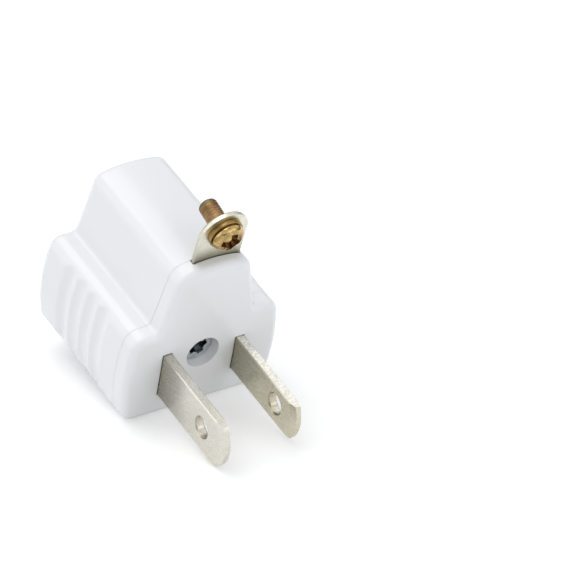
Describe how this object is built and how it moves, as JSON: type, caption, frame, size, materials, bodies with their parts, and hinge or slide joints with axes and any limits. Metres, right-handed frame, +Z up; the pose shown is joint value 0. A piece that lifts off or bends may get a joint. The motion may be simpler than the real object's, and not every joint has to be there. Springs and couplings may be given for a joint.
{
  "type": "grounding plug adapter",
  "caption": "Grounding plug adapter: grounded socket face on one end, flat polarized blades and a screw-fixed ground lug on the other, in a glossy white moulded body.",
  "frame": {"origin": "on the table, under the middle of the overall box, with the adapter lying as it rests on the tongue under its socket end and on the bottom edge of its blade cover", "axes": "+Z up from the table; +Y from the socket end towards the blades, which point about 12 degrees below level; +X towards the wide neutral blade, to the right when looking at the socket face"},
  "size_m": [0.0264, 0.0458, 0.0361],
  "materials": {
    "shell": "glossy white moulded plastic, faintly cool",
    "cover": "glossy white moulded plastic, faintly cool",
    "cover_screw": "bright bluish zinc plating",
    "blade": "satin nickel plating over brass, warm grey",
    "contact": "dull brownish brass strip",
    "rivet": "plain brass",
    "lug": "pale yellowish plating on sheet steel",
    "ground_screw": "bright yellow plating, brown in the recess",
    "washer": "bright yellow plating"
  },
  "bodies": {
    "root": {"socket_shell": "shell", "blade_cover": "cover", "cover_screw": "cover_screw", "neutral_blade": "blade", "line_blade": "blade", "neutral_contact": "contact", "line_contact": "contact", "neutral_rivet": "rivet", "line_rivet": "rivet", "ground_contact": "contact", "ground_lug": "lug", "ground_rivet": "rivet", "ground_screw": "ground_screw", "ground_washer": "washer"}
  },
  "joints": []
}
